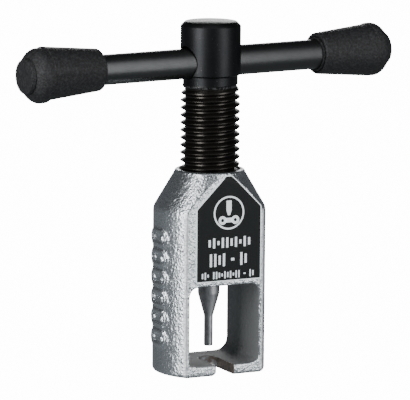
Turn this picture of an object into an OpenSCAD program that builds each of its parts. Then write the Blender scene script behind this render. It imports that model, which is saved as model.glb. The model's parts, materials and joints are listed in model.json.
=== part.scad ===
// Screw-type chain tool: a cast yoke holds the chain on a slotted anvil,
// and a threaded spindle with a sliding tommy bar drives a push pin down
// through the chain rivet.
// Origin: middle of the yoke's base. +Z runs up the spindle axis, +X along
// the width of the yoke, and the label is on the -Y side.

/* [Yoke] */
// Diameter of the round sides of the yoke
yoke_d = 37.5; // [37:0.1:40]
// Depth of the yoke between its front and back flats
yoke_depth = 24.6; // [24:0.1:25.4]
// Height of the yoke
yoke_h = 68; // [66:0.5:76]
// Height at which the conical shoulder starts
shoulder_z = 55.3; // [50:0.1:57]
// Diameter at the top of the shoulder
crown_d = 23.6; // [22.6:0.1:26]
// Height of the rounded rim above the shoulder
crown_h = 0.8; // [0.5:0.1:1.5]
// Chamfer round the base
base_chamfer = 1; // [0.5:0.1:1.5]

/* [Chain window] */
// Width of the window that takes the chain
window_w = 25.5; // [20:0.1:26]
// Thickness of the anvil under the chain
anvil_t = 3.5; // [2.5:0.1:6]
// Height of the window's roof above the base
roof_z = 30.3; // [28:0.1:34]
// Corner radius at the roof
roof_r = 3; // [1:0.1:5]
// Corner radius at the anvil
anvil_r = 4.2; // [1:0.1:6]
// Width of the slot that the rivet drops through
slot_w = 6.5; // [6:0.1:8]
// Distance of the slot's middle from the spindle axis, towards +X
slot_x = 0.35; // [0:0.05:0.5]
// Distance from the spindle axis back to the middle of the slot's round end
slot_back = 0.9; // [0:0.1:3]

/* [Cast relief] */
// Height of the raised link plates on the yoke's left side
relief_h = 0.8; // [0.5:0.1:1]
// Distance between the link plates
relief_pitch = 6.75; // [6:0.05:7]
// Height of a link plate
relief_link_h = 5.7; // [4:0.1:5.8]
// Length of a link plate round the yoke's side
relief_link_l = 11.2; // [9:0.1:12]

/* [Label] */
// Thickness of the label
label_t = 0.25; // [0.1:0.05:0.5]
// Width of the label
label_w = 23.9; // [16:0.1:24]
// Distance of the label's middle from the spindle axis
label_x = 1.15; // [0:0.05:1.2]
// Height of the label's lower edge above the base
label_z = 31.9; // [31:0.1:40]
// Height of the label's shoulders, where its slopes start
label_shoulder_z = 56.5; // [54:0.1:56.5]

/* [Spindle] */
// Diameter over the thread crests
thread_d = 19.8; // [19.6:0.05:20]
// Pitch of the thread
pitch = 2.5; // [2:0.5:2.5]
// Diameter of the head
head_d = 20; // [19.9:0.1:21]
// Height of the head
head_h = 17.5; // [16:0.1:20]
// Height of the top of the head above the base, with the tool as it stands
spindle_top = 117.1; // [112:0.1:120]
// Height of the spindle's lower end above the base
spindle_low = 32; // [31:0.1:34]
// Diameter of the neck under the head
neck_d = 18.2; // [17.5:0.1:18.5]
// Height of the neck
neck_h = 3.2; // [2:0.1:4]

/* [Push pin] */
// Diameter of the pin's shank
pin_d = 7.3; // [6:0.1:8]
// Diameter of the pin's working tip
tip_d = 3; // [2.4:0.1:4]
// Length of the tip
tip_l = 10.2; // [8:0.1:12]
// Length of the cone between the shank and the tip
cone_l = 7.7; // [6:0.1:10]
// Height of the tip above the base
tip_z = 8; // [6:0.1:10]
// Length of the shank inside the spindle
seat_l = 22; // [18:0.5:26]

/* [Handle] */
// Diameter of the tommy bar
bar_d = 10; // [9:0.1:10]
// Length of the tommy bar
bar_l = 134; // [120:1:160]
// Height of the tommy bar's axis above the spindle head's lower edge
bar_rise = 3.9; // [3.5:0.1:6]
// Turn of the tommy bar away from the yoke's width, as the tool stands
bar_turn = 6.7; // [-180:0.1:180]
// How far the tommy bar has slid through the head, as the tool stands
bar_shift = -0.85; // [-0.9:0.05:0.9]
// Length of a cap along the bar
cap_l = 27.6; // [24:0.1:32]
// Diameter of a cap's collar, where the round end starts
cap_d = 18; // [16:0.1:20]
// Diameter of a cap at its mouth
mouth_d = 13.7; // [13:0.1:15]
// Diameter of the disc on a cap's end
cap_disc_d = 11.4; // [9:0.1:12]

/* [Hidden] */
$fn = 96;
past = 1;                          // how far a cutter runs past the solid it cuts
fit = 0.05;                        // radial play of the pin in the spindle
thread_play = 0.08;                // radial play of the spindle in the yoke
yoke_r = yoke_d / 2;
crown_z = yoke_h - crown_h;
link_count = 6;
relief_low = 12.2;                 // height of the lowest link plate's middle
relief_hole_d = 2.6;               // holes of a link plate
head_low = spindle_top - head_h;
neck_low = head_low - neck_h;
thread_depth = 0.613 * pitch;
thread_low = spindle_low + thread_depth;
groove_count = floor((neck_low - thread_low) / pitch);
bar_z = head_low + bar_rise;
hole_play = 0.3;                   // radial play of the bar in the head
hole_rise = 0.2;                   // the bar hangs a little under the hole's axis
lead = 0.6;                        // chamfers at both ends of the screw thread
seat_top = spindle_low + seat_l;
cone_low = tip_z + tip_l;
cone_top = cone_low + cone_l;
wire_d = 1;                        // wire of the snap ring
ring_z = spindle_low + 5;
ring_r = pin_d / 2 + 0.02;         // radius of the ring's wire, at its middle
ring_gap = 40;                     // opening of the ring, in degrees
ring_play = 0.3;                   // room round the ring in the spindle's groove
pin_groove_h = 1.2;                // height of the pin's groove
nip = 0.5;                         // small chamfers
bar_chamfer = 0.8;
cap_wall = 3.4;                    // wall over the end of the bar
cap_play = 0.1;                    // room between the bar's end and the cap
cap_grip = 0.02;                   // radial play of the bar in a cap
cap_step = 0.55;                   // how far a cap's collar stands out of its sleeve
cap_collar_l = 4;                  // length of the collar, up to the bore's blind end
cap_round = 1.8;                   // height of the round end over the bore's blind end
cap_out = bar_l / 2 + cap_play;    // blind end of a cap's bore, from the bar's middle
cap_in = cap_out + cap_wall - cap_l;

// Points of an arc from angle a to angle b, stretched to radii rx and ry
function arc(cx, cy, rx, ry, a, b, n = 6) =
    [for (i = [0 : n]) let (t = a + (b - a) * i / n) [cx + rx * cos(t), cy + ry * sin(t)]];

// ---------------------------------------------------------------- yoke
module yoke_blank() {
    intersection() {
        rotate_extrude()
            polygon([[0, 0], [yoke_r - base_chamfer, 0], [yoke_r, base_chamfer],
                     [yoke_r, shoulder_z], [crown_d / 2, crown_z],
                     [crown_d / 2 - crown_h, yoke_h], [0, yoke_h]]);
        translate([-yoke_d, -yoke_depth / 2, -past])
            cube([2 * yoke_d, yoke_depth, yoke_h + 2 * past]);
    }
}

// Outline of the chain window, in the plane across the yoke
module window_outline() {
    low = anvil_t;
    half = window_w / 2;
    translate([-half, low + anvil_r]) square([window_w, roof_z - low - anvil_r - roof_r]);
    translate([-half + anvil_r, low]) square([window_w - 2 * anvil_r, anvil_r + past]);
    translate([-half + roof_r, roof_z - roof_r - past]) square([window_w - 2 * roof_r, roof_r + past]);
    for (side = [-1, 1]) {
        translate([side * (half - anvil_r), low + anvil_r]) circle(anvil_r);
        translate([side * (half - roof_r), roof_z - roof_r]) circle(roof_r);
    }
}

module chain_window() {
    rotate([90, 0, 0])
        linear_extrude(yoke_depth + 2 * past, center = true) window_outline();
}

module anvil_slot() {
    translate([slot_x, slot_back, -past]) cylinder(d = slot_w, h = anvil_t + 2 * past);
    translate([slot_x - slot_w / 2, -yoke_depth / 2 - past, -past])
        cube([slot_w, yoke_depth / 2 + past + slot_back, anvil_t + 2 * past]);
}

module spindle_bore() {
    bore_d = thread_d + 2 * thread_play;
    translate([0, 0, roof_z - past]) cylinder(d = bore_d, h = yoke_h - roof_z + 2 * past);
    translate([0, 0, yoke_h - lead])
        cylinder(d1 = bore_d, d2 = bore_d + 4 * lead, h = 2 * lead);
}

// Raised link plates, one above the other, on the yoke's left side
module cast_links() {
    end_r = relief_link_h / 2;
    reach = relief_link_l / 2 - end_r;
    intersection() {
        cylinder(r = yoke_r + relief_h, h = yoke_h);
        for (i = [0 : link_count - 1])
            translate([-yoke_r, 0, relief_low + i * relief_pitch]) rotate([90, 0, 90])
                linear_extrude(4, center = true) difference() {
                    union() {
                        for (y = [-reach, reach]) translate([y, 0]) circle(end_r, $fn = 48);
                        translate([-reach, -end_r]) square([2 * reach, 2 * end_r]);
                    }
                    for (y = [-reach, reach]) translate([y, 0]) circle(d = relief_hole_d, $fn = 24);
                }
    }
}

module yoke() {
    color("silver") union() {
        difference() {
            yoke_blank();
            chain_window();
            anvil_slot();
            spindle_bore();
        }
        cast_links();
    }
}

// Label with a pointed top. Its slopes stop where the flat runs out under the conical shoulder
module label_plate() {
    half = label_w / 2;
    rise = min(8.4, half - 2);
    tip = half - rise;
    top_z = label_shoulder_z + rise;
    color([0.14, 0.16, 0.17])
        translate([label_x, -yoke_depth / 2, 0]) rotate([90, 0, 0]) linear_extrude(label_t)
            polygon([[-half, label_z], [half, label_z], [half, label_shoulder_z],
                     [tip, top_z], [-tip, top_z], [-half, label_shoulder_z]]);
}

// ------------------------------------------------------------- spindle
// One turn of the thread's profile, from its root up to the next root
function thread_turn(z) = let (r = thread_d / 2, crest = pitch / 8, flank = pitch * 5 / 16)
    [[r - thread_depth, z], [r, z + flank], [r, z + flank + crest],
     [r - thread_depth, z + 2 * flank + crest]];

module spindle_blank() {
    r = thread_d / 2;
    chamfer = 1.4;
    rotate_extrude()
        polygon(concat(
            [[0, spindle_low], [r - thread_depth - lead, spindle_low], [r - thread_depth, spindle_low + lead]],
            [for (i = [0 : groove_count - 1]) each thread_turn(thread_low + i * pitch)],
            [[r - thread_depth, thread_low + groove_count * pitch], [neck_d / 2, neck_low],
             [neck_d / 2, head_low - nip], [head_d / 2, head_low],
             [head_d / 2, spindle_top - chamfer], [head_d / 2 - chamfer, spindle_top], [0, spindle_top]]));
}

module spindle() {
    bar_hole_d = bar_d + 2 * hole_play;
    color([0.16, 0.15, 0.14]) difference() {
        spindle_blank();
        translate([0, 0, bar_z + hole_rise]) rotate([90, 0, bar_turn + 90])
            cylinder(d = bar_hole_d, h = head_d + 2 * past, center = true);
        translate([0, 0, spindle_low - past]) cylinder(d = pin_d + 2 * fit, h = seat_l + past + fit);
        translate([0, 0, ring_z - wire_d / 2 - ring_play])
            cylinder(r = ring_r + wire_d / 2 + ring_play, h = wire_d + 2 * ring_play);
    }
}

// ------------------------------------------------------------ push pin
module push_pin() {
    r = pin_d / 2;
    groove = wire_d / 2;
    groove_low = ring_z - pin_groove_h / 2;
    groove_high = ring_z + pin_groove_h / 2;
    nose = 0.3;
    color([0.55, 0.56, 0.58]) rotate_extrude()
        polygon([[0, tip_z], [tip_d / 2 - nose, tip_z], [tip_d / 2, tip_z + nose],
                 [tip_d / 2, cone_low], [r, cone_top],
                 [r, groove_low], [r - groove, groove_low], [r - groove, groove_high], [r, groove_high],
                 [r, seat_top - nip], [r - nip, seat_top], [0, seat_top]]);
}

// Spring wire ring that keeps the pin in the spindle and lets it swivel
module pin_snap_ring() {
    color([0.62, 0.62, 0.64]) translate([0, 0, ring_z]) rotate([0, 0, ring_gap / 2])
        rotate_extrude(angle = 360 - ring_gap) translate([ring_r, 0]) circle(d = wire_d, $fn = 24);
}

// -------------------------------------------------------------- handle
// Lays what is turned about Z along the tommy bar
module along_bar(side = 1) {
    rotate([0, 0, bar_turn]) translate([bar_shift, 0, bar_z]) rotate([0, side * 90, 0]) children();
}

module tommy_bar() {
    r = bar_d / 2;
    end = bar_l / 2;
    cut = bar_chamfer;
    color([0.26, 0.27, 0.27]) along_bar() rotate_extrude()
        polygon([[0, -end], [r - cut, -end], [r, cut - end], [r, end - cut], [r - cut, end], [0, end]]);
}

// Soft cap with a rounded mouth, a collar, a domed end and a small end disc
module handle_cap(side) {
    bore_r = bar_d / 2 + cap_grip;
    mouth_r = mouth_d / 2;
    lip = mouth_r - bore_r - 0.4;      // the mouth keeps 0.4 of flat face round the bar
    collar_r = cap_d / 2;
    collar_z = cap_out - cap_collar_l;
    disc_r = cap_disc_d / 2;
    disc_z = cap_out + cap_round;
    dome_r = disc_r + 0.4;             // the disc stands 0.4 inside the round end
    dome_z = collar_z + cap_collar_l / 2;
    end_z = cap_out + cap_wall;
    color([0.15, 0.15, 0.16]) along_bar(side) rotate_extrude()
        polygon(concat(
            [[bore_r, cap_in]],
            arc(mouth_r - lip, cap_in + lip, lip, lip, -90, 0, 4),
            [[collar_r - cap_step, collar_z - cap_step]],
            arc(dome_r, dome_z, collar_r - dome_r, disc_z - dome_z, 0, 90, 5),
            [[disc_r, disc_z], [disc_r, end_z - 2 * nip], [disc_r - nip, end_z - nip / 2],
             [0, end_z], [0, cap_out], [bore_r, cap_out]]));
}

module handle_cap_left() { handle_cap(-1); }
module handle_cap_right() { handle_cap(1); }

yoke();
label_plate();
spindle();
push_pin();
pin_snap_ring();
tommy_bar();
handle_cap_left();
handle_cap_right();
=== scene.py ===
"""Looks of a screw-type chain tool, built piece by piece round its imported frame."""

import json
import math

import bpy
from bpy.props import FloatProperty, FloatVectorProperty, IntProperty, PointerProperty
from bpy.types import Operator, Panel, PropertyGroup
from mathutils import Matrix, Vector


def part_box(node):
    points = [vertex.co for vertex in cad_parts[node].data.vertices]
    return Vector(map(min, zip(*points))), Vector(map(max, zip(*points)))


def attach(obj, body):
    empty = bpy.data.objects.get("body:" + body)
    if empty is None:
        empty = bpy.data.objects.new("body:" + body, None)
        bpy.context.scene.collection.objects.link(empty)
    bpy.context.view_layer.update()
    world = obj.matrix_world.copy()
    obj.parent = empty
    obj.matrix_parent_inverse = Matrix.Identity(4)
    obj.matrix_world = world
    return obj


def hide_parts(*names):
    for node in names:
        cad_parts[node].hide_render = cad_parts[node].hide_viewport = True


bl_info = {
    "name": "Chain Tool",
    "version": (1, 0, 0),
    "blender": (4, 5, 0),
    "location": "3D View > Sidebar > Chain Tool",
    "description": "Builds a screw-type chain tool: cast yoke, spindle, push pin and tommy bar",
    "category": "Object",
}

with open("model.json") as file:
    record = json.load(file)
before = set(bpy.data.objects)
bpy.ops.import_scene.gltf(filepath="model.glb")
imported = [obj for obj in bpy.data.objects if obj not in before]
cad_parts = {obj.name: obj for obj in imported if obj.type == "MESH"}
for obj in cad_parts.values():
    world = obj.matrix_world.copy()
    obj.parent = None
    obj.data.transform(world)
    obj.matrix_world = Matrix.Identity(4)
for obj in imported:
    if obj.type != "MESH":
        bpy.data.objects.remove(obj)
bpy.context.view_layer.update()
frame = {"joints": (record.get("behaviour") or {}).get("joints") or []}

MM = 0.001
YOKE_LOW, YOKE_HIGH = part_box("yoke")
LABEL_LOW, LABEL_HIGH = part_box("label_plate")
SPINDLE_LOW, SPINDLE_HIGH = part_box("spindle")
PIN_LOW, PIN_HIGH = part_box("push_pin")
RING_LOW, RING_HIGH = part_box("pin_snap_ring")
BAR_LOW, BAR_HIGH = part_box("tommy_bar")
BAR_MIDDLE = (BAR_LOW + BAR_HIGH) / 2
BAR_AXIS = Vector(next(j["axis"] for j in frame["joints"] if j["name"] == "bar_slide"))
BAR_TURN = math.atan2(BAR_AXIS.y, BAR_AXIS.x)


# ---------------------------------------------------------------- settings
def length(name, description, default):
    """A length property in metres."""
    return FloatProperty(
        name=name, description=description, default=default, unit="LENGTH", precision=5
    )


def tint(name, description, default):
    """A colour property."""
    return FloatVectorProperty(
        name=name, description=description, default=default, subtype="COLOR", size=3, min=0, max=1
    )


class YokeSettings(PropertyGroup):
    """Sizes and colours of the cast yoke."""

    radius: length("Radius", "Radius of the round sides", 18.75 * MM)
    shoulder: length("Shoulder", "Height where the conical shoulder starts", 55.3 * MM)
    crown: length("Crown", "Radius at the top of the shoulder", 11.8 * MM)
    rim: length("Rim", "Height of the rounded rim round the crown", 1.0 * MM)
    base: length("Base", "Rounding where the sides meet the base", 1.1 * MM)
    edge: length("Edge", "Depth of the cut along the flats' upright edges", 0.09 * MM)
    foot: length("Foot", "Rounding of the flats' lower edges", 0.6 * MM)
    window: length("Window", "Width of the chain window", 25.5 * MM)
    roof: length("Roof", "Height of the window's roof", 30.3 * MM)
    roof_corner: length("Roof corner", "Rounding of the window's upper corners", 3.0 * MM)
    anvil: length("Anvil", "Thickness of the anvil", 3.5 * MM)
    slot: length("Slot", "Width of the rivet slot", 6.5 * MM)
    slot_middle: length("Slot middle", "Distance of the slot's middle from the axis", 0.35 * MM)
    slot_back: length("Slot end", "Distance from the axis back to the slot's round end", 0.9 * MM)
    relief: length("Relief", "How far the cast link plates stand proud", 0.8 * MM)
    links: IntProperty(name="Links", description="Number of cast link plates", default=6, min=1)
    first_link: length("First link", "Height of the lowest link plate's middle", 12.2 * MM)
    link_pitch: length("Link pitch", "Distance from one link plate to the next", 6.75 * MM)
    dish: length("Dish", "Rounding between the anvil and the window's walls", 4.2 * MM)
    grain: length("Grain", "Depth of the cast skin's waves", 0.08 * MM)
    voxel: length("Voxel", "Size of the cast skin's facets", 0.36 * MM)
    metal: tint("Metal", "Bright cast skin", (0.66, 0.70, 0.735))
    # Painted shade: this darker colour is blended into the hollows between the pebbles. It is also the
    # darker tone of the skin's random mottling.
    pit_shade_and_mottle: tint("Pits", "Hollows between the skin's pebbles", (0.27, 0.29, 0.31))
    # Painted shade and painted light: inside is a darker colour for the shade in the front of the window and
    # in the bore. The next colour is paler at the back of the window, where it stands in for light.
    inside: tint("Inside", "Dull skin inside the window, in front", (0.15, 0.157, 0.16))
    lit_back: tint("Lit_back", "Paler skin inside the window, at the back", (0.42, 0.435, 0.44))
    bare: tint("Bare", "Machined and slightly rusty walls", (0.37, 0.31, 0.27))
    # Painted highlight: a pale colour along the upright edges where the flats meet the round sides. The
    # spindle's field of the same name is the thread's real browning by oil.
    sheen_and_browning: tint("Sheen_and_browning", "Upright edges, worn pale by handling", (0.93, 0.96, 0.98))


class LabelSettings(PropertyGroup):
    """Sizes and colours of the label."""

    shoulder: length("Shoulder", "Height where the label's slopes start", 56.5 * MM)
    apex: length("Apex", "Height of the label's pointed top", 67.2 * MM)
    corner: length("Corner", "Rounding of the label's corners", 0.5 * MM)
    border: length("Border", "Width of the pale edge line", 0.34 * MM)
    ink: length("Ink", "Thickness of the print", 0.02 * MM)
    ring: length("Ring", "Outer radius of the ring round the pictogram", 5.6 * MM)
    line: length("Line", "Width of the ring's line", 0.58 * MM)
    film: tint("Film", "Black film", (0.007, 0.009, 0.010))
    print: tint("Print", "Pale print", (0.93, 0.97, 0.99))


class SpindleSettings(PropertyGroup):
    """Sizes and colours of the spindle."""

    pitch: length("Pitch", "Pitch of the thread", 2.5 * MM)
    crest: length("Crest", "Radius over the thread's crests", 9.9 * MM)
    depth: length("Depth", "Depth of the thread", 1.53 * MM)
    phase: length("Phase", "Height of a crest on the +X side, below one pitch", 2.24 * MM)
    neck: length("Neck", "Radius of the neck", 9.1 * MM)
    neck_height: length("Neck height", "Height of the neck", 3.2 * MM)
    head_height: length("Head height", "Height of the head", 17.5 * MM)
    chamfer: length("Chamfer", "Chamfer round the head's top", 1.4 * MM)
    hole: length("Hole", "Radius of the cross hole", 5.3 * MM)
    seat: length("Seat", "Radius of the push pin's seat", 3.7 * MM)
    sides: IntProperty(name="Sides", description="Facets round the spindle", default=96, min=24)
    oxide: tint("Oxide", "Black oxide", (0.024, 0.025, 0.027))
    sheen_and_browning: tint("Sheen_and_browning", "Oxide in the thread, browned by oil", (0.056, 0.051, 0.045))


class PinSettings(PropertyGroup):
    """Sizes and colours of the push pin and its snap ring."""

    shank: length("Shank", "Radius of the shank", 3.65 * MM)
    tip: length("Tip", "Radius of the tip", 1.5 * MM)
    tip_length: length("Tip length", "Length of the tip", 10.2 * MM)
    cone_length: length("Cone length", "Length of the cone", 7.7 * MM)
    wire: length("Wire", "Radius of the snap ring's wire", 0.5 * MM)
    steel: tint("Steel", "Ground steel", (0.64, 0.65, 0.67))


class HandleSettings(PropertyGroup):
    """Sizes and colours of the tommy bar and its caps."""

    bar: length("Bar", "Radius of the tommy bar", 5.0 * MM)
    half: length("Half length", "Half the tommy bar's length", 67.0 * MM)
    mouth: length("Mouth", "Radius of a cap's mouth", 7.0 * MM)
    collar: length("Collar", "Radius of a cap's collar", 9.0 * MM)
    disc: length("Disc", "Radius of a cap's end disc", 5.75 * MM)
    mismatch: length("Mismatch", "How far a cap's end sits off its bore", 0.35 * MM)
    lift: length("Lift", "How far a cap's sleeve sits above its bore", 0.2 * MM)
    satin: tint("Satin", "Blackened bar", (0.090, 0.093, 0.095))
    rubber: tint("Rubber", "Matt black caps", (0.011, 0.011, 0.012))


class StageSettings(PropertyGroup):
    """Camera, lights and floor."""

    azimuth: FloatProperty(name="Azimuth", description="Turn of the camera", default=-26.04)
    elevation: FloatProperty(name="Elevation", description="Rise of the camera", default=9.47)
    roll: FloatProperty(name="Roll", description="Roll of the camera", default=0.475)
    distance: length("Distance", "Distance from the camera to its target", 1.2967)
    target: FloatVectorProperty(
        name="Target", description="What the camera points at", subtype="TRANSLATION",
        default=(-1.32 * MM, 0.64 * MM, 57.2 * MM), size=3,
    )
    lens: FloatProperty(name="Lens", description="Focal length in millimetres", default=342.5)
    glow: FloatProperty(name="Glow", description="Strength of the room's light from below", default=0.22)
    dusk: FloatProperty(name="Dusk", description="Strength of the room's light from above", default=0.03)
    white: FloatProperty(name="White", description="Strength of the paper's own white", default=14.0)


GROUPS = {
    "chain_tool_yoke": YokeSettings,
    "chain_tool_label": LabelSettings,
    "chain_tool_spindle": SpindleSettings,
    "chain_tool_pin": PinSettings,
    "chain_tool_handle": HandleSettings,
    "chain_tool_stage": StageSettings,
}


# ------------------------------------------------------------- shader maths
class Value:
    """One output of a material's node tree, usable in Python sums."""

    def __init__(self, paint, socket):
        self.paint = paint
        self.socket = socket

    def math(self, operation, *terms):
        """A Math node on these terms."""
        return self.paint.node("ShaderNodeMath", {"operation": operation}, dict(enumerate(terms)))

    def __add__(self, other):
        return self.math("ADD", self, other)

    def __radd__(self, other):
        return self.math("ADD", other, self)

    def __sub__(self, other):
        return self.math("SUBTRACT", self, other)

    def __rsub__(self, other):
        return self.math("SUBTRACT", other, self)

    def __mul__(self, other):
        return self.math("MULTIPLY", self, other)

    def __pow__(self, other):
        return self.math("POWER", self, other)

    def __abs__(self):
        return self.math("ABSOLUTE", self)

    def over(self, low, high):
        """0 where the value is under low, 1 where it is over high, smooth between."""
        settings = {"interpolation_type": "SMOOTHSTEP"}
        return self.paint.node(
            "ShaderNodeMapRange", settings, {"Value": self, "From Min": low, "From Max": high}
        )

    def most(self, other):
        """The larger of two values."""
        return self.math("MAXIMUM", self, other)


class Paint:
    """A node-based material that is built from Python expressions."""

    def __init__(self, name):
        self.material = bpy.data.materials.new(name)
        self.material.use_nodes = True
        self.tree = self.material.node_tree
        self.shader = next(n for n in self.tree.nodes if n.type == "BSDF_PRINCIPLED")
        self.place = self.node("ShaderNodeTexCoord", output="Object")

    def node(self, kind, settings=None, inputs=None, output=0):
        """A new node of this kind: its settings first, then its sockets' values or links."""
        new = self.tree.nodes.new(kind)
        for key, value in (settings or {}).items():
            setattr(new, key, value)
        for key, value in (inputs or {}).items():
            self.feed(new.inputs[key], value)
        return Value(self, new.outputs[output])

    def feed(self, socket, value):
        """Links a value to a socket, or sets the socket to a constant."""
        if isinstance(value, Value):
            self.tree.links.new(value.socket, socket)
        else:
            socket.default_value = value

    def axes(self):
        """The x, y and z of the surface, in metres."""
        split = self.tree.nodes.new("ShaderNodeSeparateXYZ")
        self.feed(split.inputs[0], self.place)
        return [Value(self, out) for out in split.outputs]

    def stretched(self, scale):
        """The place on the surface, scaled by a vector."""
        return self.node("ShaderNodeMapping", None, {"Vector": self.place, "Scale": scale})

    def noise(self, size, detail=2.0, roughness=0.5, place=None):
        """Noise whose blobs are about this size, in metres."""
        inputs = {
            "Vector": place or self.place, "Scale": 1 / size, "Detail": detail, "Roughness": roughness
        }
        return self.node("ShaderNodeTexNoise", None, inputs)

    def cells(self, size, feature="SMOOTH_F1"):
        """Distance to the middle of cells of about this size, in metres."""
        return self.node(
            "ShaderNodeTexVoronoi", {"feature": feature}, {"Vector": self.place, "Scale": 1 / size}
        )

    def blend(self, mask, low, high):
        """A colour that goes from low to high with the mask."""
        node = self.tree.nodes.new("ShaderNodeMix")
        node.data_type = "RGBA"
        self.feed(node.inputs["Factor"], mask)
        for socket, value in ((node.inputs[6], low), (node.inputs[7], high)):
            self.feed(socket, value if isinstance(value, Value) else (*value, 1.0))
        return Value(self, node.outputs[2])

    def bump(self, height, depth, strength=1.0, under=None):
        """A bumped normal, of a height from 0 to 1 and a depth in metres."""
        inputs = {"Height": height, "Distance": depth, "Strength": strength}
        if under is not None:
            inputs["Normal"] = under
        return self.node("ShaderNodeBump", None, inputs)

    def coat(self, **values):
        """Sets the shader's sockets; a name's underscores stand for spaces."""
        for key, value in values.items():
            socket = self.shader.inputs[key.replace("_", " ")]
            if isinstance(value, Value) or not hasattr(value, "__len__"):
                self.feed(socket, value)
            else:
                socket.default_value = (*value, 1.0)
        return self.material


def cast_metal(s):
    """Bright pebbled casting with painted shade in its pits and a painted highlight along its upright edges.
    Inside the window it is duller, with painted shade in front and painted light at the back. It is bare
    where machined.
    """
    paint = Paint("cast_metal")
    x, y, z = paint.axes()
    flat, bore = YOKE_HIGH.y, 10.7 * MM
    pebbles = paint.cells(0.90 * MM)
    lumps = paint.noise(0.75 * MM, 1.5, 0.5)
    swell = paint.noise(2.4 * MM, 2, 0.5)
    cloud = paint.noise(7 * MM, 3)
    across = x - s.slot_middle
    slot_side = (across * across + (y - s.slot_back).most(0) ** 2) ** 0.5
    in_slot = (1 - slot_side.over(s.slot / 2 + 0.06 * MM, s.slot / 2 + 0.12 * MM)) * (
        1 - z.over(s.anvil + 0.2 * MM, s.anvil + 0.4 * MM)
    )
    in_bore = 1 - ((x * x + y * y) ** 0.5).over(bore, bore + 0.1 * MM)
    in_bore = in_bore * z.over(s.roof - 0.1 * MM, s.roof + 0.3 * MM)
    within = 1 - abs(x).over(s.window / 2 + 0.1 * MM, s.window / 2 + 0.5 * MM)
    within = within * (1 - abs(y).over(flat - 0.7 * MM, flat - 0.2 * MM))
    within = within * z.over(s.anvil - 0.9 * MM, s.anvil - 0.5 * MM)
    within = within * (1 - z.over(s.roof + 0.2 * MM, s.roof + 0.7 * MM))
    within = within * (1 - in_slot)
    # Painted shade: the pits between the pebbles are blended darker.
    shaded_pits = (pebbles * 0.6 + (1 - lumps) * 0.6).over(0.50, 0.85)
    skin = paint.blend(shaded_pits * 0.30, s.metal, s.pit_shade_and_mottle)
    skin = paint.blend(cloud.over(0.45, 0.8) * 0.15, skin, s.pit_shade_and_mottle)
    # Painted highlight along the upright edges: a pale colour, with a rougher finish there as well.
    highlit_edges = 1 - abs(abs(x) - arris(s)).over(0.3 * MM, 0.9 * MM)
    highlit_edges = highlit_edges * abs(y).over(flat - 1.3 * MM, flat - 0.6 * MM)
    highlit_edges = highlit_edges * (1 - z.over(s.shoulder - 0.5 * MM, s.shoulder + 0.5 * MM))
    skin = paint.blend(highlit_edges * 0.8, skin, s.sheen_and_browning)
    # Painted shade in the front of the window and painted light towards its back: the walls go from dark in
    # front to paler at the back.
    deep = paint.blend(y.over(-10 * MM, 10 * MM), s.inside, s.lit_back)
    skin = paint.blend(within, skin, deep)
    rust = paint.noise(1.6 * MM, 3)
    wall = paint.blend(rust.over(0.35, 0.7), s.bare, (0.24, 0.215, 0.20))
    wall = paint.blend(y.over(0, 1.5 * MM) * rust.over(0.3, 0.65), wall, s.metal)
    skin = paint.blend(in_slot, skin, wall)
    # Painted shade in the bore.
    skin = paint.blend(in_bore, skin, s.inside)
    bare = in_slot.most(in_bore)
    calm = 1 - within.most(bare) * 0.7
    height = (1 - pebbles) * 0.25 + lumps * 0.75 + swell * 0.5
    return paint.coat(
        Base_Color=skin,
        Metallic=0.95 - within * 0.75,
        Roughness=0.26 + shaded_pits * 0.10 + within * 0.40 + bare * 0.1 + highlit_edges * 0.28,
        Normal=paint.bump(height * calm, 0.30 * MM, 1.0),
    )


def label_film(s):
    """Matt black film with a faint orange peel."""
    paint = Paint("label_film")
    peel = paint.noise(0.9 * MM, 2)
    dust = paint.noise(2.5 * MM, 4)
    return paint.coat(
        Base_Color=paint.blend(dust.over(0.5, 0.8) * 0.35, s.film, (0.014, 0.017, 0.018)),
        Roughness=0.40 + dust * 0.12,
        Specular_IOR_Level=0.18,
        Normal=paint.bump(peel, 0.015 * MM, 0.5),
    )


def label_print_glow(s):
    """Pale screen print, a little uneven, with a faint painted glow that stands in for light on it."""
    paint = Paint("label_print_glow")
    wear = paint.noise(0.8 * MM, 3)
    return paint.coat(
        Base_Color=paint.blend(wear.over(0.55, 0.8) * 0.3, s.print, (0.75, 0.80, 0.83)),
        Roughness=0.5 + wear * 0.1,
        # Painted light: the print glows a little, though it is no lamp.
        Emission_Color=(0.85, 0.93, 0.97),
        Emission_Strength=0.45,
        Normal=paint.bump(wear, 0.01 * MM, 0.4),
    )


def black_oxide(s):
    """Turned steel with black oxide: rings from the lathe, browned in the thread."""
    paint = Paint("black_oxide")
    top = SPINDLE_HIGH.z - s.head_height - s.neck_height
    above = paint.axes()[2] - top
    rings = paint.noise(0.12 * MM, 3, 0.7, paint.stretched((0.02, 0.02, 1)))
    streaks = paint.noise(0.9 * MM, 3, 0.6, paint.stretched((1, 1, 0.12)))
    cloud = paint.noise(5 * MM, 3)
    specks = paint.noise(0.5 * MM, 2).over(0.68, 0.75)
    in_thread = 1 - above.over(-2.4 * MM, 0.6 * MM)
    colour = paint.blend(cloud.over(0.35, 0.75) * 0.5, s.oxide, (0.022, 0.024, 0.026))
    colour = paint.blend(in_thread * 0.8, colour, s.sheen_and_browning)
    colour = paint.blend(specks * 0.35, colour, (0.16, 0.16, 0.165))
    run_out = above.over(-1.2 * MM, -0.9 * MM) * (1 - above.over(-0.5 * MM, -0.2 * MM))
    colour = paint.blend(run_out * streaks.over(0.4, 0.6) * 0.8, colour, (0.30, 0.30, 0.30))
    return paint.coat(
        Base_Color=colour,
        Metallic=0.9,
        Roughness=0.28 + rings * 0.10 + cloud * 0.08 + streaks * 0.06 - in_thread * 0.10,
        Normal=paint.bump(rings, 0.012 * MM, 0.6, paint.bump(streaks, 0.02 * MM, 0.4)),
    )


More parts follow.
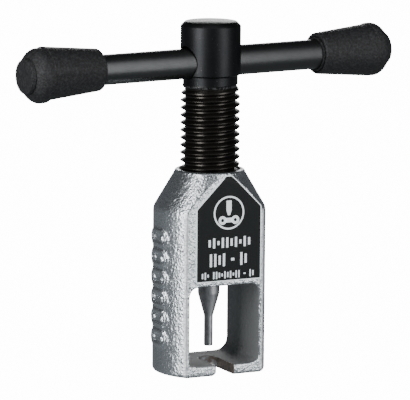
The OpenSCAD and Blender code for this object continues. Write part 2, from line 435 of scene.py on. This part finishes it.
def ground_steel(s):
    """Ground steel with fine marks round the pin."""
    paint = Paint("ground_steel")
    rings = paint.noise(0.10 * MM, 2, 0.6, paint.stretched((0.03, 0.03, 1)))
    cloud = paint.noise(2.5 * MM, 3)
    return paint.coat(
        Base_Color=paint.blend(cloud.over(0.4, 0.8) * 0.5, s.steel, (0.24, 0.245, 0.26)),
        Metallic=1.0,
        Roughness=0.36 + rings * 0.1 + cloud * 0.08,
        Normal=paint.bump(rings, 0.006 * MM, 0.5),
    )


def bar_satin(s):
    """Blackened drawn bar with a satin grain."""
    paint = Paint("bar_satin")
    grain = paint.noise(0.16 * MM, 3, 0.6)
    cloud = paint.noise(3 * MM, 3)
    return paint.coat(
        Base_Color=paint.blend(cloud.over(0.35, 0.75) * 0.4, s.satin, (0.075, 0.078, 0.080)),
        Metallic=0.95,
        Roughness=0.27 + grain * 0.1 + cloud * 0.06,
        Normal=paint.bump(grain, 0.012 * MM, 0.5),
    )


def cap_rubber(s):
    """Matt black rubber with the fine grain of its mould."""
    paint = Paint("cap_rubber")
    grain = paint.cells(0.62 * MM)
    fine = paint.noise(0.40 * MM, 3, 0.6)
    cloud = paint.noise(4 * MM, 3)
    height = grain * 0.5 + fine * 0.5
    tone = paint.blend(cloud.over(0.3, 0.8) * 0.6, s.rubber, (0.015, 0.016, 0.018))
    return paint.coat(
        Base_Color=paint.blend(height.over(0.40, 0.62), tone, (0.030, 0.032, 0.034)),
        Roughness=0.44 + fine * 0.16,
        Specular_IOR_Level=0.42,
        Normal=paint.bump(height, 0.45 * MM, 1.0),
    )


def pale_paper():
    """Plain pale paper, bright enough to stay white."""
    paint = Paint("pale_paper")
    return paint.coat(
        Base_Color=(0.9, 0.9, 0.9), Emission_Color=(1, 1, 1), Emission_Strength=settings("stage").white
    )


# ------------------------------------------------------------ bench helpers
def settings(name):
    """The scene's property group of this name."""
    return getattr(bpy.context.scene, "chain_tool_" + name)


def clear_selection():
    """Object mode, with nothing selected."""
    if bpy.context.object and bpy.context.object.mode != "OBJECT":
        bpy.ops.object.mode_set(mode="OBJECT")
    bpy.ops.object.select_all(action="DESELECT")


def take(piece):
    """Selects one piece and makes it the active one."""
    clear_selection()
    piece.select_set(True)
    bpy.context.view_layer.objects.active = piece


def arc(across, up, width, height, start, end, steps=6):
    """Points of an elliptic arc round (across, up), from one angle to another in degrees."""
    angles = [math.radians(start + (end - start) * i / steps) for i in range(steps + 1)]
    return [(across + width * math.cos(a), up + height * math.sin(a)) for a in angles]


def turned(profile, sides=96):
    """A turned solid about Z. The profile is (radius, height) points from one flat end to the other."""
    clear_selection()
    radius, height = profile[0]
    bpy.ops.mesh.primitive_circle_add(
        vertices=sides, radius=radius, fill_type="NGON", location=(0, 0, height)
    )
    piece = bpy.context.object
    bpy.ops.object.transform_apply(location=True)
    bpy.ops.object.mode_set(mode="EDIT")
    for next_radius, next_height in profile[1:]:
        rise = (0, 0, next_height - height)
        bpy.ops.mesh.extrude_region_move(TRANSFORM_OT_translate={"value": rise})
        grow = next_radius / radius
        bpy.ops.transform.resize(value=(grow, grow, 1), center_override=(0, 0, next_height))
        radius, height = next_radius, next_height
    bpy.ops.mesh.select_all(action="SELECT")
    bpy.ops.mesh.normals_make_consistent(inside=False)
    bpy.ops.object.mode_set(mode="OBJECT")
    return piece


def block(low, high):
    """A box between two corners."""
    clear_selection()
    low, high = Vector(low), Vector(high)
    bpy.ops.mesh.primitive_cube_add(size=1, location=(low + high) / 2)
    piece = bpy.context.object
    piece.scale = high - low
    bpy.ops.object.transform_apply(location=True, scale=True)
    return piece


def placed(piece, matrix):
    """Moves a piece and applies the move, so that its place is in its mesh."""
    take(piece)
    piece.matrix_world = matrix @ piece.matrix_world
    bpy.ops.object.transform_apply(location=True, rotation=True, scale=True)
    return piece


def modified(piece, kind, **values):
    """Adds a modifier with these values and applies it."""
    take(piece)
    bpy.ops.object.modifier_add(type=kind)
    modifier = piece.modifiers[-1]
    for key, value in values.items():
        setattr(modifier, key, value)
    bpy.ops.object.modifier_apply(modifier=modifier.name)
    return piece


def copied(piece, matrix):
    """A copy of a piece with its own mesh, moved by a matrix."""
    copy = piece.copy()
    copy.data = piece.data.copy()
    bpy.context.scene.collection.objects.link(copy)
    return placed(copy, matrix)


def combined(piece, other, operation):
    """Cuts, joins or intersects a piece with another, which is used up."""
    modified(piece, "BOOLEAN", object=other, operation=operation, solver="EXACT")
    bpy.data.objects.remove(other)
    return piece


def joined(pieces):
    """Several pieces as one object."""
    clear_selection()
    for piece in pieces:
        piece.select_set(True)
    bpy.context.view_layer.objects.active = pieces[0]
    bpy.ops.object.join()
    return pieces[0]


def sliced(piece, point, normal):
    """Cuts off what lies on the normal's side of a plane, and closes the cut."""
    take(piece)
    bpy.ops.object.mode_set(mode="EDIT")
    bpy.ops.mesh.select_all(action="SELECT")
    bpy.ops.mesh.bisect(plane_co=point, plane_no=normal, use_fill=True, clear_outer=True)
    bpy.ops.object.mode_set(mode="OBJECT")
    return piece


def select_edges(piece, test):
    """Ends in edit mode, with the edges selected whose two ends pass the test."""
    take(piece)
    bpy.ops.object.mode_set(mode="EDIT")
    bpy.ops.mesh.select_mode(type="EDGE")
    bpy.ops.mesh.select_all(action="DESELECT")
    bpy.ops.object.mode_set(mode="OBJECT")
    mesh = piece.data
    for edge in mesh.edges:
        edge.select = test(*[mesh.vertices[i].co for i in edge.vertices])
    bpy.ops.object.mode_set(mode="EDIT")


def rounded_edges(piece, width, segments, test):
    """Bevels the edges whose two ends pass the test."""
    select_edges(piece, test)
    bpy.ops.mesh.bevel(offset=width, segments=segments, affect="EDGES")
    bpy.ops.object.mode_set(mode="OBJECT")
    return piece


def finished(piece, name, body, slot, *materials, replaces=(), angle=35):
    """Names a piece, smooths it, paints it and lets it ride on its body."""
    take(piece)
    piece.name = piece.data.name = name
    bpy.ops.object.shade_smooth_by_angle(angle=math.radians(angle))
    if not piece.data.materials:
        for material in materials:
            piece.data.materials.append(material)
    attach(piece, body)
    if replaces:
        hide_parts(*replaces)
    return piece


def thread_rod(crest, depth, pitch, phase, low, high, ends, fade, sides):
    """A closed right-hand screw about Z, brought to a plain round at each end's radius.

    The thread fades into the upper end over the length fade, and its lower end is chamfered.
    """
    root = crest - depth
    flank = depth * math.tan(math.radians(30))
    flat = pitch / 8
    nip = 0.1 * depth
    tooth = [
        (root, -pitch / 2), (root, -flat / 2 - flank), (crest - nip, -flat / 2 - nip / 2),
        (crest, -flat / 4), (crest, flat / 4), (crest - nip, flat / 2 + nip / 2),
        (root, flat / 2 + flank), (root, pitch / 2),
    ]
    start = phase + pitch * (math.floor((low - phase) / pitch) - 2)
    turns = math.ceil((high - start) / pitch) + 2
    mesh = bpy.data.meshes.new("thread")
    points = [(r, 0, start + z) for r, z in tooth]
    mesh.from_pydata(points, [(i, i + 1) for i in range(len(points) - 1)], [])
    rod = bpy.data.objects.new("thread", mesh)
    bpy.context.scene.collection.objects.link(rod)
    modified(rod, "SCREW", screw_offset=pitch, iterations=turns, steps=sides, render_steps=sides)
    for vertex in rod.data.vertices:
        x, y, z = vertex.co
        share = min(max((z - high + fade) / fade, 0), 1)
        most = min(crest + (ends[1] - crest) * share, max(ends[0], root) + z - low)
        least = root + (ends[1] - root) * max(0, 2 * share - 1)
        radius = math.hypot(x, y)
        wanted = min(max(radius, least), most)
        if z <= low:
            wanted = ends[0]
        if z >= high:
            wanted = ends[1]
        vertex.co = (x * wanted / radius, y * wanted / radius, min(max(z, low), high))
    take(rod)
    bpy.ops.object.mode_set(mode="EDIT")
    bpy.ops.mesh.select_all(action="SELECT")
    bpy.ops.mesh.remove_doubles(threshold=0.002 * MM)
    bpy.ops.mesh.fill_holes(sides=0)
    bpy.ops.mesh.select_all(action="SELECT")
    bpy.ops.mesh.normals_make_consistent(inside=False)
    bpy.ops.object.mode_set(mode="OBJECT")
    return rod


# ------------------------------------------------------------------- pieces
def arris(s):
    """Distance from the axis, along X, to the upright edges where the flats meet the round sides."""
    return math.sqrt(s.radius ** 2 - YOKE_HIGH.y ** 2)


class CHAINTOOL_OT_yoke(Operator):
    """Adds the cast yoke with its window, anvil slot, threaded bore and cast link plates"""

    bl_idname = "chain_tool.yoke"
    bl_label = "Yoke"
    bl_options = {"REGISTER", "UNDO"}

    def blank(self, s):
        """The turned blank between its two flats, with rounded edges."""
        top, flat = YOKE_HIGH.z, YOKE_HIGH.y
        base, rim = s.base, s.rim
        profile = [(s.radius - base, 0), *arc(s.radius - base, base, base, base, -90, 0)[1:]]
        profile += [(s.radius, s.shoulder - 1 * MM), (s.radius - 0.25 * MM, s.shoulder + 0.3 * MM)]
        profile += [(s.crown, top - rim), (s.crown - 0.12 * rim, top - 0.45 * rim),
                    (s.crown - 0.5 * rim, top - 0.08 * rim), (s.crown - 0.9 * rim, top)]
        piece = turned(profile, 128)
        corner = arris(s)
        lean = math.asin(corner / s.radius) / 2
        for side in (-1, 1):
            sliced(piece, (0, side * flat, 0), (0, side, 0))
            sliced(piece, (0, side * flat, s.foot), (0, side, -1))
            for end in (-1, 1):
                out = Vector((end * math.sin(lean), side * math.cos(lean), 0))
                sliced(piece, Vector((end * corner, side * flat, 0)) - out * s.edge, out)
        return piece

    def window(self, s):
        """Cutter for the chain window: round corners above, a dished floor that is flatter in front."""
        half, middle = s.window / 2, s.roof / 2
        deep = YOKE_HIGH.y + 2 * MM
        left_share, right_share = 0.12, 0.42
        cutter = block((-half, -deep, s.anvil), (half, deep, s.roof))
        rounded_edges(cutter, s.dish, 8, lambda a, b: abs(a.y - b.y) > deep and a.z < middle)
        rounded_edges(cutter, s.roof_corner, 8, lambda a, b: abs(a.y - b.y) > deep and a.z > middle)
        for vertex in cutter.data.vertices:
            if vertex.co.y < 0 and vertex.co.z < middle:
                share = left_share if vertex.co.x < 0 else right_share
                vertex.co.z = s.anvil + (vertex.co.z - s.anvil) * share
        return cutter

    def link(self, s):
        """One raised link plate, bent round the yoke's left side: a rim and two pin heads."""
        half, reach, root, top = 2.85 * MM, 2.75 * MM, 2 * MM, s.relief
        rim, floor, nip = 1.2 * MM, 0.1 * MM, 0.15 * MM
        plate = turned(
            [(half, -root), (half, top - nip), (half - nip, top), (half - rim, top),
             (half - rim - nip, floor), (0.3 * MM, floor)], 32
        )
        for vertex in plate.data.vertices:
            if abs(vertex.co.x) > 0.01 * MM:
                vertex.co.x += math.copysign(reach, vertex.co.x)
        heads = [
            placed(turned([(0.9 * MM, -root), (0.9 * MM, top - 0.1 * MM), (0.7 * MM, top)], 20),
                   Matrix.Translation((across, 0, 0)))
            for across in (-reach, reach)
        ]
        link = joined([plate, *heads])
        for vertex in link.data.vertices:
            across, up, out = vertex.co
            far = s.radius + out
            vertex.co = (-math.sqrt(far ** 2 - across ** 2), -across, up)
        return link

    def figure(self, s):
        """The cast figure: link plates, one above the other."""
        first = placed(self.link(s), Matrix.Translation((0, 0, s.first_link)))
        rises = [s.link_pitch * i for i in range(1, s.links)]
        return joined([first, *(copied(first, Matrix.Translation((0, 0, rise))) for rise in rises)])

    def slot(self, s, stock=0.0):
        """Cutter for the rivet slot. Stock is what the casting leaves for the cutter on each wall."""
        half, low, high = s.slot / 2 - stock, -2 * MM, s.anvil + 3 * MM
        past_front = YOKE_LOW.y - half - 3 * MM
        channel = turned([(half, low), (half, high)], 64)
        for vertex in channel.data.vertices:
            if vertex.co.y < -0.01 * MM:
                vertex.co.x = max(-half, min(half, vertex.co.x * 1.02))
                vertex.co.y += past_front
        return placed(channel, Matrix.Translation((s.slot_middle, s.slot_back, 0)))

    def worn_foot(self, s):
        """Cutters that round the left foot's corner beside the slot, in front and underneath."""
        left, front = s.slot_middle - s.slot / 2, YOKE_LOW.y
        corner, edge = 0.25 * MM, 0.7 * MM
        eighth = math.radians(45)
        upright = block((-corner, -corner, -1 * MM), (corner, corner, s.anvil + 3 * MM))
        placed(upright, Matrix.Translation((left, front, 0)) @ Matrix.Rotation(eighth, 4, "Z"))
        under = block((-edge, front - 2 * MM, -edge), (edge, -2 * MM, edge))
        placed(under, Matrix.Translation((left, 0, 0)) @ Matrix.Rotation(eighth, 4, "Y"))
        return upright, under

    def bore(self, s):
        """Cutter for the threaded bore, with a conical lead-in at its mouth."""
        spindle = settings("spindle")
        play, depth, lead = 0.12 * MM, 1.35 * MM, 0.3 * MM
        below, above = 1.8 * MM, 1.2 * MM
        top = YOKE_HIGH.z
        wide = spindle.crest + play
        rod = thread_rod(
            wide, depth, spindle.pitch, spindle.phase, s.roof - 2 * MM, top + 2 * MM,
            (wide - depth, wide), 1 * MM, 64
        )
        mouth = wide + lead
        cone = turned([(mouth - below, top - below), (mouth + above, top + above)], 96)
        return combined(rod, cone, "UNION")

    def execute(self, context):
        s = settings("yoke")
        stock = 0.35 * MM
        yoke = combined(self.blank(s), self.window(s), "DIFFERENCE")
        for cutter in (self.slot(s, stock), *self.worn_foot(s)):
            combined(yoke, cutter, "DIFFERENCE")
        yoke = joined([yoke, self.figure(s)])
        modified(yoke, "REMESH", mode="VOXEL", voxel_size=s.voxel)
        modified(yoke, "SMOOTH", factor=0.5, iterations=4)
        waves = bpy.data.textures.new("cast_waves", "CLOUDS")
        waves.noise_scale = 1.0 * MM
        waves.noise_depth = 1
        modified(
            yoke, "DISPLACE", texture=waves, texture_coords="GLOBAL", strength=s.grain, mid_level=0.5
        )
        combined(yoke, self.slot(s), "DIFFERENCE")
        combined(yoke, self.bore(s), "DIFFERENCE")
        finished(yoke, "cast_yoke", "yoke", "cast_yoke", cast_metal(s), replaces=["yoke"])
        return {"FINISHED"}


class CHAINTOOL_OT_label(Operator):
    """Adds the label: black film with a pale border, a link pictogram and plain bars"""

    bl_idname = "chain_tool.label"
    bl_label = "Label"
    bl_options = {"REGISTER", "UNDO"}

    def film(self, s):
        """The film with its pointed top, cut into strips so that it can bend over the shoulder."""
        low, high = LABEL_LOW, LABEL_HIGH
        middle, thick = (low.x + high.x) / 2, high.y - low.y
        cuts, tall, wide = 12, 0.9 * MM, 1.9 * MM
        piece = block(low, (high.x, high.y, s.apex))
        for side, end in ((-1, low.x), (1, high.x)):
            sliced(piece, (end, 0, s.shoulder), (side, 0, 1))
        rounded_edges(piece, s.corner, 3, lambda a, b: abs(a.y - b.y) > thick / 2)
        self.select_front(piece)
        bpy.ops.mesh.inset(thickness=s.border)
        bpy.ops.object.mode_set(mode="OBJECT")
        for face in piece.data.polygons:
            face.material_index = 0 if face.select or face.normal.y > 0.9 else 1
        take(piece)
        bpy.ops.object.mode_set(mode="EDIT")
        for i in range(cuts):
            for point, normal in (
                ((0, 0, s.shoulder + (i + 0.5) * tall), (0, 0, 1)),
                ((middle + (i - (cuts - 1) / 2) * wide, 0, 0), (1, 0, 0)),
            ):
                bpy.ops.mesh.select_all(action="SELECT")
                bpy.ops.mesh.bisect(plane_co=point, plane_no=normal)
        bpy.ops.object.mode_set(mode="OBJECT")
        return piece

    def select_front(self, piece):
        """Ends in edit mode, with the faces selected that look away from the yoke."""
        take(piece)
        bpy.ops.object.mode_set(mode="EDIT")
        bpy.ops.mesh.select_mode(type="FACE")
        bpy.ops.mesh.select_all(action="DESELECT")
        bpy.ops.object.mode_set(mode="OBJECT")
        for face in piece.data.polygons:
            face.select = face.normal.y < -0.9
        bpy.ops.object.mode_set(mode="EDIT")

    def bent(self, piece):
        """Lays what is flat against the yoke's conical shoulder, where the flat has run out."""
        yoke = settings("yoke")
        slope = (yoke.radius - yoke.crown) / (YOKE_HIGH.z - yoke.rim - yoke.shoulder)
        for vertex in piece.data.vertices:
            x, y, z = vertex.co
            radius = min(yoke.radius, yoke.radius - slope * (z - yoke.shoulder))
            vertex.co.y += max(0, YOKE_HIGH.y - math.sqrt(radius ** 2 - x ** 2))
        return piece

    def stamp(self, sides, x, z, width, height, thick):
        """A flat shape of the print with this many sides, as wide, high and thick as given."""
        piece = turned([(0.5, -0.5), (0.5, 0.5)], sides)
        if sides == 4:
            full = Matrix.Diagonal((2 ** 0.5, 2 ** 0.5, 1, 1))
            placed(piece, full @ Matrix.Rotation(math.radians(45), 4, "Z"))
        upright = Matrix.Rotation(math.radians(90), 4, "X")
        size = Matrix.Diagonal((width, height, thick, 1))
        return placed(piece, Matrix.Translation((x, LABEL_LOW.y, z)) @ upright @ size)

    def hoop(self, s, x, z, outer, inner):
        """A flat ring of the print."""
        ring = self.stamp(96, x, z, 2 * outer, 2 * outer, s.ink)
        return combined(ring, self.stamp(96, x, z, 2 * inner, 2 * inner, 3 * s.ink), "DIFFERENCE")

    def emblem(self, s):
        """A ring round a plain pictogram: a pin that points down at a chain link."""
        x, z = 1.1 * MM, 54.8 * MM
        pin_width, taper = 1.9 * MM, 0.42
        pin = self.stamp(4, x, z + 2.5 * MM, pin_width, 3.2 * MM, s.ink)
        point = self.stamp(4, x, z + 0.05 * MM, pin_width, 1.7 * MM, s.ink)
        for vertex in point.data.vertices:
            if vertex.co.z < z:
                vertex.co.x = x + (vertex.co.x - x) * taper
        low, reach = z - 2.45 * MM, 2.35 * MM
        web = self.stamp(4, x, low, 2.4 * MM, 1.5 * MM, s.ink)
        eyes = [self.hoop(s, x + side * reach, low, 1.45 * MM, 0.55 * MM) for side in (-1, 1)]
        return joined([self.hoop(s, x, z, s.ring, s.ring - s.line), pin, point, web, *eyes])

    def row(self, s, low_x, high_x, low_z, high_z, pattern):
        """A row of upright bars of three heights: | full, i shorter, . short, - a dash, or a space."""
        height, middle = high_z - low_z, (low_z + high_z) / 2
        marks = {"|": (1, 1.0), "i": (1, 0.72), ".": (1, 0.4), "-": (1.5, 0.2)}
        bar = (high_x - low_x) / (len(pattern) * 2 - 1)
        first = self.stamp(4, 0, 0, 1, 1, s.ink)
        bars = []
        for i, mark in enumerate(pattern):
            if mark in marks:
                wide, tall = marks[mark]
                spot = Matrix.Translation((low_x + bar * (0.5 + i * 2), 0, middle))
                bars.append(copied(first, spot @ Matrix.Diagonal((bar * wide, 1, height * tall, 1))))
        bpy.data.objects.remove(first)
        return joined(bars)

    def execute(self, context):
        s = settings("label")
        film = self.film(s)
        film.data.materials.append(label_film(s))
        pale = label_print_glow(s)
        film.data.materials.append(pale)
        self.bent(film)
        finished(film, "label_film", "yoke", "label", replaces=["label_plate"])
        finished(self.emblem(s), "label_emblem", "yoke", "label", pale)
        rows = joined([
            self.row(s, -6.3 * MM, 9.0 * MM, 43.2 * MM, 46.6 * MM, "i|.||i|.|i"),
            self.row(s, -5.8 * MM, 7.8 * MM, 37.0 * MM, 41.3 * MM, "||i| - |i"),
            self.row(s, -8.7 * MM, 10.4 * MM, 32.9 * MM, 35.3 * MM, "i|. ||i.|i|.|| - |i"),
        ])
        finished(rows, "label_bars", "yoke", "label", pale)
        return {"FINISHED"}


class CHAINTOOL_OT_spindle(Operator):
    """Adds the spindle: a threaded shaft, a neck and a head with a cross hole"""

    bl_idname = "chain_tool.spindle"
    bl_label = "Spindle"
    bl_options = {"REGISTER", "UNDO"}

    def execute(self, context):
        s = settings("spindle")
        low, top = SPINDLE_LOW.z, SPINDLE_HIGH.z
        head_low = top - s.head_height
        neck_low = head_low - s.neck_height
        radius = SPINDLE_HIGH.x
        start, fade = s.crest - s.depth - 0.5 * MM, 5 * MM
        spindle = thread_rod(
            s.crest, s.depth, s.pitch, s.phase, low, neck_low + 0.4 * MM,
            (start, s.neck - 0.05 * MM), fade, s.sides
        )
        nip, slope = 0.1 * MM, s.chamfer
        head = turned(
            [(s.neck, neck_low), (s.neck, head_low - 0.5 * MM), (radius - 0.15 * MM, head_low - nip),
             (radius, head_low + nip),
             (radius, top - slope - nip), (radius - nip, top - slope + nip),
             (radius - slope + nip, top - nip), (radius - slope - nip, top)], 128
        )
        combined(spindle, head, "UNION")
        reach, mouth, flare = radius + 1 * MM, radius - 1.3 * MM, s.hole + 0.6 * MM
        hole = turned([(flare, -reach), (s.hole, -mouth), (s.hole, mouth), (flare, reach)], 96)
        rise = BAR_MIDDLE.z + 0.2 * MM
        turn = Matrix.Rotation(BAR_TURN, 4, "Z") @ Matrix.Rotation(math.radians(90), 4, "Y")
        placed(hole, Matrix.Translation((0, 0, rise)) @ turn)
        combined(spindle, hole, "DIFFERENCE")
        groove = s.seat + 0.8 * MM
        ring_low, ring_high = RING_LOW.z - 0.3 * MM, RING_HIGH.z + 0.3 * MM
        seat = turned(
            [(s.seat + 0.5 * MM, low - 0.5 * MM), (s.seat, low + 0.5 * MM), (s.seat, ring_low),
             (groove, ring_low), (groove, ring_high), (s.seat, ring_high),
             (s.seat, PIN_HIGH.z + 0.05 * MM)], 64
        )
        combined(spindle, seat, "DIFFERENCE")
        finished(spindle, "spindle_screw", "spindle", "black_oxide", black_oxide(s), replaces=["spindle"])
        return {"FINISHED"}


class CHAINTOOL_OT_pin(Operator):
    """Adds the push pin and the snap ring that keeps it in the spindle"""

    bl_idname = "chain_tool.pin"
    bl_label = "Push pin"
    bl_options = {"REGISTER", "UNDO"}

    def execute(self, context):
        s = settings("pin")
        low, top = PIN_LOW.z, PIN_HIGH.z
        cone = low + s.tip_length
        shank = cone + s.cone_length
        groove_low, groove_high = RING_LOW.z - 0.1 * MM, RING_HIGH.z + 0.1 * MM
        groove = s.shank - s.wire
        blend, nip = 0.25 * MM, 0.3 * MM
        nose = arc(s.tip - nip, low + nip, nip, nip, -90, 0, 4)
        slope = (s.shank - s.tip) / s.cone_length
        profile = [
            *nose, (s.tip, cone - blend), (s.tip + slope * blend, cone + blend),
            (s.shank - slope * blend, shank - blend), (s.shank, shank + blend),
            (s.shank, groove_low), (groove, groove_low), (groove, groove_high), (s.shank, groove_high),
            (s.shank, top - 0.5 * MM), (s.shank - 0.5 * MM, top),
        ]
        steel = ground_steel(s)
        pin = turned(profile, 64)
        finished(pin, "punch_pin", "punch", "pin_steel", steel, replaces=["push_pin"])
        clear_selection()
        middle = (RING_LOW + RING_HIGH) / 2
        bpy.ops.mesh.primitive_torus_add(
            location=(0, 0, middle.z), major_radius=s.shank + 0.02 * MM, minor_radius=s.wire,
            major_segments=72, minor_segments=16,
        )
        ring = bpy.context.object
        bpy.ops.object.transform_apply(location=True)
        gap = block((0, -1.3 * MM, middle.z - 1 * MM), (8 * MM, 1.3 * MM, middle.z + 1 * MM))
        combined(ring, gap, "DIFFERENCE")
        finished(ring, "snap_ring", "punch", "spring_wire", steel, replaces=["pin_snap_ring"])
        return {"FINISHED"}


class CHAINTOOL_OT_handle(Operator):
    """Adds the tommy bar and its two soft caps"""

    bl_idname = "chain_tool.handle"
    bl_label = "Handle"
    bl_options = {"REGISTER", "UNDO"}

    def along_bar(self, side):
        """The move that lays a piece turned about Z along the bar."""
        turn = Matrix.Rotation(BAR_TURN, 4, "Z") @ Matrix.Rotation(side * math.radians(90), 4, "Y")
        return Matrix.Translation(BAR_MIDDLE) @ turn

    def cap(self, s, side):
        """One cap, from the blind end of its bore out over its mouth to its end disc."""
        bore = s.bar + 0.02 * MM
        blind = s.half + 0.1 * MM
        mouth = blind - 24.3 * MM
        sleeve = s.collar - 0.15 * MM
        step = blind - 3.6 * MM
        end = blind + 3.4 * MM
        lip = 0.7 * MM
        profile = [
            (bore, blind), (bore, mouth - 0.35 * MM), (bore + 0.15 * MM, mouth - 0.45 * MM),
            (bore + 0.6 * MM, mouth - 0.40 * MM), (bore + 0.72 * MM, mouth - 0.2 * MM),
            (bore + 0.78 * MM, mouth + 0.5 * MM), (bore + 1.0 * MM, mouth + 0.5 * MM),
            *arc(s.mouth - lip, mouth + lip, lip, lip, -110, 0, 6),
            (sleeve, step - 0.1 * MM), (sleeve + 0.08 * MM, step), (s.collar - 0.12 * MM, step + 0.25 * MM),
            (s.collar, step + 0.9 * MM), (s.collar, step + 1.8 * MM),
            (s.collar - 0.12 * MM, step + 2.5 * MM), (s.collar - 0.55 * MM, step + 3.4 * MM),
            (s.collar - 1.3 * MM, step + 4.3 * MM), (s.collar - 2.2 * MM, step + 5.1 * MM),
            (s.disc + 0.42 * MM, step + 5.45 * MM), (s.disc + 0.08 * MM, step + 5.35 * MM),
            (s.disc, step + 5.5 * MM), (s.disc, end - 0.45 * MM),
            (s.disc - 0.18 * MM, end - 0.18 * MM), (s.disc - 0.6 * MM, end - 0.04 * MM),
            (s.disc * 0.6, end), (s.disc * 0.25, end + 0.02 * MM),
        ]
        piece = turned(profile, 96)
        for vertex in piece.data.vertices:
            radius = math.hypot(vertex.co.x, vertex.co.y)
            if vertex.co.z > step - 0.05 * MM and radius > bore + 0.01 * MM:
                vertex.co.x -= s.mismatch
            elif radius > bore + 1.2 * MM:
                vertex.co.x -= side * s.lift
        return placed(piece, self.along_bar(side))

    def execute(self, context):
        s = settings("handle")
        nip = 0.8 * MM
        bar = turned(
            [(s.bar - nip, -s.half), (s.bar, nip - s.half), (s.bar, s.half - nip), (s.bar - nip, s.half)], 96
        )
        placed(bar, self.along_bar(1))
        finished(bar, "slide_bar", "handle_bar", "bar_steel", bar_satin(s), replaces=["tommy_bar"])
        rubber = cap_rubber(s)
        for side, name in ((-1, "left"), (1, "right")):
            cap = self.cap(s, side)
            finished(cap, "bar_cap_" + name, "handle_bar", "cap_rubber", rubber,
                     replaces=["handle_cap_" + name])
        return {"FINISHED"}


class CHAINTOOL_OT_stage(Operator):
    """Adds the camera, the soft lights, the pale floor and its backdrop"""

    bl_idname = "chain_tool.stage"
    bl_label = "Stage"
    bl_options = {"REGISTER", "UNDO"}

    def camera(self, s):
        """The camera, turned round its target."""
        turn = Matrix.Rotation(math.radians(s.azimuth), 4, "Z")
        tilt = Matrix.Rotation(math.radians(90 - s.elevation), 4, "X")
        roll = Matrix.Rotation(math.radians(s.roll), 4, "Z")
        aim = turn @ tilt @ roll
        bpy.ops.object.camera_add()
        camera = bpy.context.object
        back = Matrix.Translation((0, 0, s.distance))
        camera.matrix_world = Matrix.Translation(Vector(s.target)) @ aim @ back
        camera.data.lens = s.lens
        camera.data.clip_start = 0.05
        camera.data.clip_end = 50
        bpy.context.scene.camera = camera

    def softbox(self, azimuth, elevation, distance, width, height, power):
        """A rectangular lamp that faces the object. Azimuth 0 is in front of the tool."""
        a, e = math.radians(azimuth), math.radians(elevation)
        aim = Vector((0, 0, 0.07))
        back = Vector((math.sin(a) * math.cos(e), -math.cos(a) * math.cos(e), math.sin(e)))
        bpy.ops.object.light_add(type="AREA", location=aim + back * distance)
        lamp = bpy.context.object
        lamp.rotation_euler = back.to_track_quat("Z", "Y").to_euler()
        lamp.data.shape = "RECTANGLE"
        lamp.data.size = width
        lamp.data.size_y = height
        lamp.data.energy = power
        lamp.visible_camera = False

    def paper(self, name):
        """Paints a piece as pure pale paper that lights nothing, so that the metal keeps its dark side."""
        paper = bpy.context.object
        paper.name = name
        paper.data.materials.append(pale_paper())
        for ray in ("diffuse", "glossy", "transmission", "shadow", "volume_scatter"):
            setattr(paper, "visible_" + ray, False)

    def execute(self, context):
        s = settings("stage")
        clear_selection()
        self.camera(s)
        self.softbox(-72, 16, 0.9, 0.42, 1.2, 10.6)
        self.softbox(27, 18, 0.9, 0.42, 1.3, 5.7)
        self.softbox(154, 12, 1.2, 0.5, 0.3, 2.4)
        self.softbox(-20, 75, 1.2, 0.8, 0.8, 1.0)
        clear_selection()
        bpy.ops.mesh.primitive_plane_add(size=12, location=(0, 0, -0.05 * MM))
        self.paper("paper_floor")
        clear_selection()
        bpy.ops.mesh.primitive_uv_sphere_add(segments=48, ring_count=24, radius=5)
        self.paper("paper_backdrop")
        world = bpy.data.worlds.new("studio")
        world.use_nodes = True
        tree = world.node_tree
        rise = tree.nodes.new("ShaderNodeSeparateXYZ")
        ramp = tree.nodes.new("ShaderNodeMapRange")
        tree.links.new(tree.nodes.new("ShaderNodeTexCoord").outputs["Generated"], rise.inputs[0])
        tree.links.new(rise.outputs["Z"], ramp.inputs["Value"])
        for key, value in (("From Min", -0.6), ("From Max", 0.5), ("To Min", s.glow), ("To Max", s.dusk)):
            ramp.inputs[key].default_value = value
        back = tree.nodes["Background"]
        back.inputs["Color"].default_value = (0.88, 0.95, 1.0, 1)
        tree.links.new(ramp.outputs["Result"], back.inputs["Strength"])
        bpy.context.scene.world = world
        return {"FINISHED"}


class CHAINTOOL_PT_panel(Panel):
    """Lists the chain tool's pieces with their sizes and colours"""

    bl_label = "Chain Tool"
    bl_idname = "CHAINTOOL_PT_panel"
    bl_space_type = "VIEW_3D"
    bl_region_type = "UI"
    bl_category = "Chain Tool"

    def draw(self, context):
        for operator in OPERATORS:
            group = getattr(context.scene, operator.bl_idname.replace(".", "_"))
            box = self.layout.box()
            for key in type(group).__annotations__:
                box.prop(group, key)
            box.operator(operator.bl_idname)


OPERATORS = (
    CHAINTOOL_OT_stage,
    CHAINTOOL_OT_yoke,
    CHAINTOOL_OT_label,
    CHAINTOOL_OT_spindle,
    CHAINTOOL_OT_pin,
    CHAINTOOL_OT_handle,
)


def register():
    """Registers the classes and gives the scene its settings."""
    for cls in (*GROUPS.values(), *OPERATORS, CHAINTOOL_PT_panel):
        bpy.utils.register_class(cls)
    for name, group in GROUPS.items():
        setattr(bpy.types.Scene, name, PointerProperty(type=group))


def unregister():
    """Takes the settings and the classes away again."""
    for name in GROUPS:
        delattr(bpy.types.Scene, name)
    for cls in reversed((*GROUPS.values(), *OPERATORS, CHAINTOOL_PT_panel)):
        bpy.utils.unregister_class(cls)


def main():
    """Builds the tool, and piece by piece."""
    register()
    for operator in OPERATORS:
        group, name = operator.bl_idname.split(".")
        getattr(getattr(bpy.ops, group), name)()


if __name__ == "__main__":
    main()
